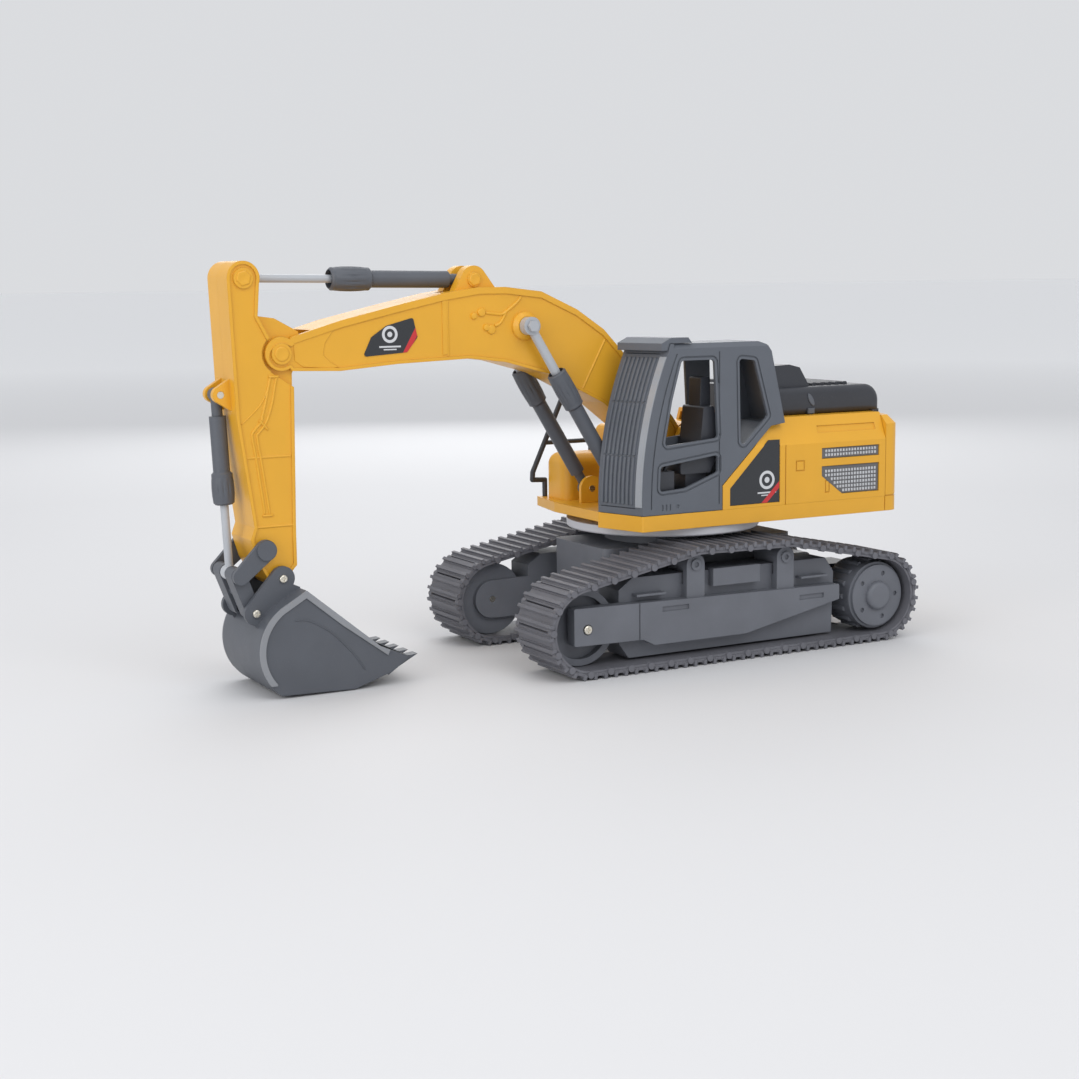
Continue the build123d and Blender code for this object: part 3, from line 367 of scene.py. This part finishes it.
class Tree:
    # a Geometry Nodes tree with named inputs, built node by node
    def __init__(self, name, inputs):
        self.group = bpy.data.node_groups.new(name, "GeometryNodeTree")
        self.group.interface.new_socket("Geometry", in_out="INPUT", socket_type="NodeSocketGeometry")
        for label, value in inputs.items():
            kind = "NodeSocketInt" if isinstance(value, int) else "NodeSocketFloat"
            made = self.group.interface.new_socket(label, in_out="INPUT", socket_type=kind)
            made.default_value = value
        self.group.interface.new_socket("Geometry", in_out="OUTPUT", socket_type="NodeSocketGeometry")
        self.start = self.group.nodes.new("NodeGroupInput")
        self.end = self.group.nodes.new("NodeGroupOutput")

    def given(self, label):
        return self.start.outputs[label]

    def add(self, kind, settings=None, out=0, **values):
        made = self.group.nodes.new(kind)
        for key, value in (settings or {}).items():
            setattr(made, key, value)
        for key, value in values.items():
            index = key[1:] if key[0] == "i" and key[1:].isdigit() else None
            socket = made.inputs[int(index)] if index else made.inputs[key.replace("_", " ")]
            for one in value if isinstance(value, list) else [value]:
                if isinstance(one, bpy.types.NodeSocket):
                    self.group.links.new(one, socket)
                else:
                    socket.default_value = one
        return made.outputs[out]

    def sum(self, first, second):
        return self.add("ShaderNodeMath", {"operation": "ADD"}, i0=first, i1=second)

    def times(self, first, second):
        return self.add("ShaderNodeMath", {"operation": "MULTIPLY"}, i0=first, i1=second)

    def vector(self, x=0.0, y=0.0, z=0.0):
        return self.add("ShaderNodeCombineXYZ", X=x, Y=y, Z=z)

    def box(self, x, y, z, at):
        cube = self.add("GeometryNodeMeshCube", Size=self.vector(x, y, z))
        return self.add("GeometryNodeTransform", Geometry=cube, Translation=at)

    def join(self, parts):
        return self.add("GeometryNodeJoinGeometry", Geometry=parts)

    def spread(self, unit, material):
        # one unit on every point of the start geometry, turned by its own attribute
        turn = self.add("GeometryNodeInputNamedAttribute", {"data_type": "FLOAT"}, Name="turn")
        placed = self.add("GeometryNodeInstanceOnPoints", Points=self.given("Geometry"), Instance=unit,
                          Rotation=self.vector(0.0, turn, 0.0))
        real = self.add("GeometryNodeRealizeInstances", Geometry=placed)
        dressed = self.add("GeometryNodeSetMaterial", Geometry=real, Material=material)
        self.group.links.new(dressed, self.end.inputs[0])


def grown(name, tree, points, turns, values, body, finish):
    # runs a tree on a cloud of points and keeps its result as a plain mesh
    cloud = meshOf(name + "Points", points, [])
    cloud.attributes.new("turn", "FLOAT", "POINT").data.foreach_set("value", turns)
    carrier = bpy.data.objects.new(name + "Carrier", cloud)
    scene.collection.objects.link(carrier)
    modifier = carrier.modifiers.new("grow", "NODES")
    modifier.node_group = tree.group
    sockets = {s.name: s.identifier for s in tree.group.interface.items_tree if s.in_out == "INPUT"}
    for label, value in values.items():
        modifier[sockets[label]] = value
    bpy.context.view_layer.update()
    evaluated = carrier.evaluated_get(bpy.context.evaluated_depsgraph_get())
    mesh = bpy.data.meshes.new_from_object(evaluated)
    mesh.name = name
    carrier.modifiers.clear()
    bpy.data.objects.remove(carrier)
    tidyNormals(mesh)
    smoothByAngle(mesh)
    return newPiece(name, mesh, body, finish)


# track belts: a flexible band that carries shoes, each with two bars and a knuckle at both ends
track = dict(rollers=[(17.5, 44.8), (-31.9, 44.1)], rollerReach=5.2, wheelReach=17.4, pitch=10.3, pad=2.5,
             bar=1.38,      # a little under the CAD's bar, so that the straight shoes stay above the floor
             barWidth=1.5, barSpacing=5.15, bandThick=1.1, bandShare=0.94, bandSteps=240, plateGap=0.7,
             plateInset=0.7, knuckle=1.55, discSteps=96)


def beltLoop(grow):
    points = []
    wheels = [((middleOf(n).x - slewX) / mm, middleOf(n).z / mm) for n in ("left_idler_wheel", "left_sprocket")]
    discs = [(c, track["wheelReach"]) for c in wheels] + [(c, track["rollerReach"]) for c in track["rollers"]]
    for (cx, cz), radius in discs:
        for i in range(track["discSteps"]):
            angle = 2 * math.pi * i / track["discSteps"]
            reach = radius + grow
            points.append((round(cx + reach * math.cos(angle), 5), round(cz + reach * math.sin(angle), 5)))
    return hull(points)


def makeBelt(side):
    low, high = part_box(side + "_track_belt")
    middleY, half = (low.y + high.y) / 2, (high.y - low.y) / 2
    tree = Tree(side + "Shoes", dict(Pitch=0.01, Half_width=0.016, Plate=0.002, Bar_width=0.0015, Bar_height=0.0015,
                                     Bar_spacing=0.005, Plate_gap=0.0007, Inset=0.0005, Knuckle=0.0015))
    g = tree.given
    long = tree.sum(g("Pitch"), tree.times(g("Plate_gap"), -1.0))
    wide = tree.times(tree.sum(g("Half_width"), tree.times(g("Inset"), -1.0)), 2.0)
    sunk = tree.vector(0.0, 0.0, tree.times(g("Plate"), -0.28))
    parts = [tree.box(long, wide, tree.times(g("Plate"), 0.55), sunk)]
    tall = tree.times(g("Bar_height"), 1.6)
    for end in (-0.5, 0.5):
        at = tree.vector(tree.times(g("Bar_spacing"), end), 0.0, tree.times(g("Bar_height"), 0.2))
        parts.append(tree.box(g("Bar_width"), tree.times(g("Half_width"), 2.0), tall, at))
        rim = tree.vector(tree.times(g("Bar_spacing"), end), 0.0, tree.times(g("Bar_height"), -0.3))
        parts.append(tree.box(tree.times(g("Bar_width"), 1.9), tree.times(wide, 1.01), g("Bar_height"), rim))
        drum = tree.add("GeometryNodeMeshCylinder", Vertices=14, Radius=g("Knuckle"),
                        Depth=tree.times(g("Half_width"), 0.2))
        across = tree.times(tree.times(g("Half_width"), 1.8), end)
        here = tree.vector(tree.times(g("Pitch"), 0.5), across, tree.times(g("Plate"), -0.55))
        parts.append(tree.add("GeometryNodeTransform", Geometry=drum, Translation=here,
                              Rotation=(math.pi / 2, 0.0, 0.0)))
    tree.spread(tree.join(parts), materials["beltDark"])
    outer = beltLoop(track["pad"])
    length = sum(math.dist(p, q) for p, q in zip(outer, outer[1:] + outer[:1]))
    count = round(length / track["pitch"])
    seats = evenly(outer, count)
    points = [spot(x, z, middleY / mm) for x, z, _ in seats]
    # the outline runs anticlockwise, so half a turn more puts each shoe's outside outwards
    turns = [-t + math.pi for _, _, t in seats]
    values = dict(Pitch=length / count * mm, Half_width=half)
    for label, key in (("Plate", "pad"), ("Bar_width", "barWidth"), ("Bar_height", "bar"), ("Knuckle", "knuckle"),
                       ("Bar_spacing", "barSpacing"), ("Plate_gap", "plateGap"), ("Inset", "plateInset")):
        values[label] = track[key] * mm
    shoes = grown(side + "_shoes", tree, points, turns, values, "undercarriage", "beltDark")
    reach, steps, thick = half * track["bandShare"], track["bandSteps"], track["bandThick"]
    vertices = []
    for grow, y in ((0.0, -reach), (0.0, reach), (thick, reach), (thick, -reach)):
        vertices += [spot(x, z, (middleY + y) / mm) for x, z, _ in evenly(beltLoop(grow), steps)]
    loop = solidPiece(side + "_band", vertices, joinRings(4, steps, loop=True), "undercarriage", "beltDark", 40)
    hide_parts(side + "_track_belt")


for side in ("left", "right"):
    makeBelt(side)
print("track belts made")

# perforated grilles: small bright studs in rows on a backing plate whose dark tone is painted shade, standing for the
# shadow behind the perforations
grille = dict(pitchX=1.7, pitchZ=1.9, width=1.05, tall=1.3, proud=0.5, start=(-91.0, 70.6), span=(34, 22),
              fields=[[(-59.2, 88.2), (-90.8, 88.2), (-90.8, 90.8), (-59.2, 90.8)],
                      [(-59.2, 82.3), (-59.2, 80.0), (-70.5, 71.2), (-90.8, 71.2), (-90.8, 82.3)]])


def inside(point, field):
    hit = False
    for (ax, az), (bx, bz) in zip(field, field[1:] + field[:1]):
        if (az > point[1]) != (bz > point[1]) and point[0] < ax + (point[1] - az) * (bx - ax) / (bz - az):
            hit = not hit
    return hit


def makeStuds():
    tree = Tree("grilleStuds", dict(Width=0.001, Tall=0.001, Proud=0.0003))
    g = tree.given
    low = tree.box(g("Width"), g("Proud"), g("Tall"), tree.vector())
    top = tree.box(tree.times(g("Width"), 0.6), tree.times(g("Proud"), 1.9), tree.times(g("Tall"), 0.66),
                   tree.vector())
    tree.spread(tree.join([low, top]), materials["grilleSilver"])
    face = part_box("side_grilles")[1].y / mm
    (startX, startZ), (spanX, spanZ) = grille["start"], grille["span"]
    points = []
    for field in grille["fields"]:
        for row in range(int(spanZ / grille["pitchZ"])):
            for column in range(int(spanX / grille["pitchX"])):
                at = (startX + (column + 0.75) * grille["pitchX"], startZ + (row + 0.5) * grille["pitchZ"])
                if inside(at, field):
                    points += [spot(at[0], at[1], face), spot(at[0], at[1], -face)]
    values = dict(Width=grille["width"] * mm, Tall=grille["tall"] * mm, Proud=grille["proud"] * mm)
    studs = grown("grille_studs", tree, points, [0.0] * len(points), values, "turret", "grilleSilver")


makeStuds()


# moulded relief on the boom: hoses and their fittings
def tube(name, path, radius, body, finish, sides=10, steps=6):
    # round bar along a smooth path, with closed ends
    points = []
    for i in range(len(path) - 1):
        p0, p1, p2, p3 = path[max(i - 1, 0)], path[i], path[i + 1], path[min(i + 2, len(path) - 1)]
        for s in range(steps):
            t = s / steps
            points.append(0.5 * ((2 * p1) + (p2 - p0) * t + (2 * p0 - 5 * p1 + 4 * p2 - p3) * t * t
                                 + (3 * p1 - p0 - 3 * p2 + p3) * t * t * t))
    points.append(path[-1])
    vertices = []
    for i, p in enumerate(points):
        along = (points[min(i + 1, len(points) - 1)] - points[max(i - 1, 0)]).normalized()
        side = along.cross(Vector((0, 1, 0))).normalized()
        rise = side.cross(along)
        ease = 0.72 if i in (0, len(points) - 1) else 1.0
        for k in range(sides):
            angle = 2 * math.pi * k / sides
            vertices.append(p + (side * math.cos(angle) + rise * math.sin(angle)) * radius * ease)
    return solidPiece(name, vertices, joinRings(len(points), sides), body, finish, 50)


def merge(name, pieces):
    # several pieces of one body and one finish become one
    bpy.ops.object.select_all(action="DESELECT")
    for piece in pieces:
        piece.select_set(True)
    bpy.context.view_layer.objects.active = pieces[0]
    bpy.ops.object.join()
    pieces[0].name = name
    return pieces[0]


def knob(name, at, axis, profile, body, finish, sides=28, sleeve=False, flutes=()):
    # turned piece: profile is (distance along the axis, radius), closed at both ends, or a hollow sleeve
    # flutes names the rings whose every fourth corner is drawn in
    axis = Vector(axis).normalized()
    side = axis.orthogonal().normalized()
    other = axis.cross(side)
    vertices = []
    for ring, (along, radius) in enumerate(profile):
        for k in range(sides):
            angle = 2 * math.pi * k / sides
            size = radius * (0.93 if ring in flutes and k % 4 == 0 else 1.0) * mm
            vertices.append(at + axis * along * mm + (side * math.cos(angle) + other * math.sin(angle)) * size)
    return solidPiece(name, vertices, joinRings(len(profile), sides, loop=sleeve), body, finish, 30)


hose = dict(skin=11.35, radius=0.75,
            upper=[(98.6, 157.2), (94.0, 156.6), (91.0, 156.4), (89.2, 157.0), (84.6, 160.2), (81.9, 162.6),
                   (81.2, 164.0)],
            lower=[(94.2, 151.4), (91.6, 152.5), (90.0, 154.6), (88.6, 157.2)],
            fittings=[(100.6, 157.4, 1.9), (104.4, 155.9, 1.5), (95.9, 149.9, 2.1), (98.4, 150.8, 1.5)])
for side, sign in (("left", 1), ("right", -1)):
    made = []
    for path in (hose["upper"], hose["lower"]):
        line = [spot(x, z, sign * hose["skin"]) for x, z in path]
        made.append(tube("hose", line, hose["radius"] * mm, "boom", "yellow"))
    for x, z, size in hose["fittings"]:
        profile = [(-0.4, size), (0.5, size), (0.9, size * 0.86), (1.05, size * 0.4)]
        made.append(knob("fitting", spot(x, z, sign * hose["skin"]), (0, sign, 0), profile, "boom", "yellow"))
    merge(side + "_boom_hoses", made)
print("boom relief made")


# thin raised plates cut to a side-view outline, on both faces of a body
def plateOn(name, outline, low, high, body, finish, rim=0.18):
    # outline runs round the plate; its top is drawn in a little, like a moulded edge
    middle = (sum(p[0] for p in outline) / len(outline), sum(p[1] for p in outline) / len(outline))
    vertices, count = [], len(outline)
    for level, inset in ((low, 0.0), (high - rim, 0.0), (high, rim)):
        for x, z in outline:
            reach = math.dist((x, z), middle)
            share = 1 - inset / reach
            drawnX, drawnZ = middle[0] + (x - middle[0]) * share, middle[1] + (z - middle[1]) * share
            vertices.append(spot(drawnX, drawnZ, level))
    return solidPiece(name, vertices, joinRings(3, count), body, finish, 30)


capLook = {
    "arm_top_cap": dict(at=(208.8, 173.2), reach=12.35, radius=3.3, sides=6, body="arm"),
    "clevis_cap": dict(at=(102.5, 171.6), reach=9.35, radius=2.9, sides=6, body="boom"),
    "boom_tip_cap": dict(at=(193.4, 142.2), reach=12.45, radius=3.1, sides=36, body="boom"),
}
for name, look in capLook.items():
    made = []
    for sign in (1, -1):
        profile = [(-0.6, look["radius"]), (0.25, look["radius"]), (0.5, look["radius"] * 0.88),
                   (0.52, look["radius"] * 0.6), (0.44, look["radius"] * 0.5), (0.44, 0.1)]
        made.append(knob(name, spot(look["at"][0], look["at"][1], sign * look["reach"]), (0, sign, 0), profile,
                         look["body"], "yellow", look["sides"]))
    merge(name, made)

# arm: two hoses side by side that run down the outer face, with a saddle and an end block
armHose = dict(skin=11.3, radius=0.62, saddleLift=0.25, saddleRadius=0.55, seamRadius=0.35,
               paths=[[(198.4, 133.0), (199.6, 127.6), (201.0, 121.9), (202.1, 117.9), (202.9, 114.6), (204.8, 112.6),
                       (206.7, 110.3), (207.1, 108.2), (205.3, 96.6), (202.7, 76.4)],
                      [(195.7, 133.0), (196.9, 127.5), (197.9, 122.6), (199.7, 116.9), (201.0, 114.1), (202.8, 111.7),
                       (204.6, 109.7), (205.0, 108.1), (203.2, 95.6), (200.6, 76.3)]],
               saddles=[((203.9, 115.4), (200.2, 111.3)), ((203.8, 75.7), (199.2, 75.7)),
                        ((199.4, 133.0), (194.8, 133.0))],
               seam=[(199.9, 127.6), (202.2, 122.8), (205.4, 119.2), (209.4, 115.7), (211.5, 113.9)])
boomPlate = [(186.4, 149.3), (178.0, 151.4), (168.6, 153.2), (170.9, 150.4), (174.0, 146.0), (174.9, 141.2),
             (172.0, 138.2), (167.9, 135.9), (171.0, 135.4), (184.0, 136.4), (187.6, 139.0), (188.0, 146.0)]
boomBand = [(119.6, 163.6), (117.2, 163.9), (117.2, 139.6), (119.6, 139.4)]
for side, sign in (("left", 1), ("right", -1)):
    made = []
    skin = sign * armHose["skin"]
    lifted = sign * (armHose["skin"] + armHose["saddleLift"])
    for path in armHose["paths"]:
        line = [spot(x, z, skin) for x, z in path]
        made.append(tube("armHose", line, armHose["radius"] * mm, "arm", "yellow"))
    for ends in armHose["saddles"]:
        line = [spot(x, z, lifted) for x, z in ends]
        made.append(tube("saddle", line, armHose["saddleRadius"] * mm, "arm", "yellow"))
    line = [spot(x, z, skin) for x, z in armHose["seam"]]
    made.append(tube("seam", line, armHose["seamRadius"] * mm, "arm", "yellow"))
    merge(side + "_arm_hoses", made)
    plate = plateOn(side + "_boom_end_plate", boomPlate, sign * 11.2, sign * 11.7, "boom", "yellow")
    band = plateOn(side + "_boom_band", boomBand, sign * 11.2, sign * 11.75, "boom", "yellow")
print("arm relief and pin caps made")

# swollen, fluted gland at the mouth of every cylinder
glands = {
    "arm_gland": dict(foot=(102.5, 171.6), eye=(208.8, 173.2), mouth=64.5, length=17.0, radius=4.9, rows=[0.0],
                      body="arm_barrel"),
    "boom_glands": dict(foot=(32.0, 73.5), eye=(79.5, 151.1), mouth=67.0, length=17.0, radius=4.4,
                        rows=[16.8, -16.8], body="boom_barrels"),
    "bucket_gland": dict(foot=(218.2, 126.0), eye=(215.0, 51.4), mouth=46.0, length=12.0, radius=4.4, rows=[0.0],
                         body="bucket_barrel"),
}
glandShape = [(0.0, 0.99), (0.03, 1.0), (0.16, 1.045), (0.42, 1.075), (0.66, 1.06), (0.86, 1.01), (0.9, 0.985)]
for name, look in glands.items():
    made = []
    for y in look["rows"]:
        foot, eye = spot(look["foot"][0], look["foot"][1], y), spot(look["eye"][0], look["eye"][1], y)
        axis = (eye - foot).normalized()
        start = foot + axis * (look["mouth"] - look["length"]) * mm
        profile = [(share * look["length"], size * look["radius"]) for share, size in glandShape]
        profile += [(profile[-1][0], look["radius"] * 0.95), (0.0, look["radius"] * 0.95)]
        made.append(knob(name, start, axis, profile, look["body"], "bucketGrey", 48, True, (2, 3, 4)))
    merge(name, made) if len(made) > 1 else made[0]

# bucket: a curved stiffening bead pressed into each cheek
beadFace, beadRadius = 22.95, 0.4
bead = [(195.4, 32.7), (189.9, 32.1), (183.9, 29.0), (177.8, 24.5), (169.0, 14.9), (164.6, 8.4)]
made = []
for sign in (1, -1):
    line = [spot(x, z, sign * beadFace) for x, z in bead]
    made.append(tube("bucket_beads", line, beadRadius * mm, "bucket", "bucketGrey"))
merge("bucket_beads", made)
print("glands and bucket beads made")

# hood: leaning oval boss and a small block under it, on the cab side
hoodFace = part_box("engine_hood")[1].y / mm
oval = []
for i in range(28):
    angle = 2 * math.pi * i / 28
    along, across = 3.3 * math.cos(angle), 1.25 * math.sin(angle)
    oval.append((-59.6 + along * 0.5 - across * 0.87, 113.9 + along * 0.87 + across * 0.5))
made = [plateOn("hood_boss", oval, hoodFace - 0.3, hoodFace + 0.5, "turret", "cabGrey"),
        plateOn("hoodBlock", [(-57.6, 107.4), (-57.6, 110.0), (-61.4, 110.0), (-61.4, 107.4)], hoodFace - 0.3,
                hoodFace + 0.8, "turret", "cabGrey")]
merge("hood_boss", made)
print("hood details made")

# floor, light and camera
stageLook = dict(floorTone=(0.66, 0.66, 0.67), farTone=(0.97, 0.975, 0.985), paleFrom=0.7, paleOver=2.2,
                 floorSize=60.0, world=0.74)
bpy.ops.mesh.primitive_plane_add(size=stageLook["floorSize"], location=(0, 0, 0))
floor = bpy.context.object
floor.name = "floor"
floorMaterial, floorShader, floorPlace, _ = newMaterial("paleFloor")
# the floor grows paler with distance, so that it meets the sky without a line
distance = floorPlace.node("ShaderNodeVectorMath", {"operation": "LENGTH"}, out=1, i0=floorPlace)
grain = noise(floorPlace, 3.0).mix(colour(stageLook["floorTone"], 0.99), colour(stageLook["floorTone"]))
pale = (distance - stageLook["paleFrom"]).math("DIVIDE", stageLook["paleOver"], clamp=True)
feed(floorShader, "Base Color", pale.mix(grain, colour(stageLook["farTone"])))
feed(floorShader, "Roughness", 0.75)
paint(floor, floorMaterial)

world = bpy.data.worlds.new("studio")
scene.world = world
world.use_nodes = True
sky = world.node_tree.nodes["Background"]
sky.inputs["Color"].default_value = (0.955, 0.97, 1.0, 1)
sky.inputs["Strength"].default_value = stageLook["world"]


def softLight(name, place, target, size, power, tone=(1, 1, 1)):
    data = bpy.data.lights.new(name, "AREA")
    data.shape = "DISK"
    data.size = size
    data.energy = power
    data.color = tone
    lamp = bpy.data.objects.new(name, data)
    scene.collection.objects.link(lamp)
    lamp.location = place
    lamp.rotation_mode = "QUATERNION"
    lamp.rotation_quaternion = (Vector(place) - Vector(target)).to_track_quat("Z", "Y")


middle = (0.0, 0.0, 0.08)
softLight("keyLight", (0.0, 1.0, 0.95), middle, 0.9, 4.6)
softLight("fillLight", (1.05, 0.35, 0.45), middle, 1.0, 4.0)
softLight("topLight", (0.1, -0.2, 1.3), middle, 1.1, 3.2)
softLight("backLight", (-0.5, -1.0, 0.6), middle, 0.9, 3.0)

lens = dict(place=(0.40432, 0.71143, 0.17212), azimuth=151.154, elevation=8.316, roll=-0.665, focal=59.82)
cameraData = bpy.data.cameras.new("camera")
cameraData.lens = lens["focal"]
cameraData.sensor_width = 36.0
cameraData.clip_start = 0.01
camera = bpy.data.objects.new("camera", cameraData)
scene.collection.objects.link(camera)
a, e, r = (math.radians(lens[k]) for k in ("azimuth", "elevation", "roll"))
back = Vector((math.sin(a) * math.cos(e), -math.cos(a) * math.cos(e), math.sin(e)))
right = Vector((0, 0, 1)).cross(back).normalized()
up = back.cross(right)
rolledRight = right * math.cos(r) + up * math.sin(r)
rolledUp = up * math.cos(r) - right * math.sin(r)
turn = Matrix((rolledRight, rolledUp, back)).transposed()
camera.matrix_world = Matrix.Translation(lens["place"]) @ turn.to_4x4()
scene.camera = camera
print("stage, lights and camera set")
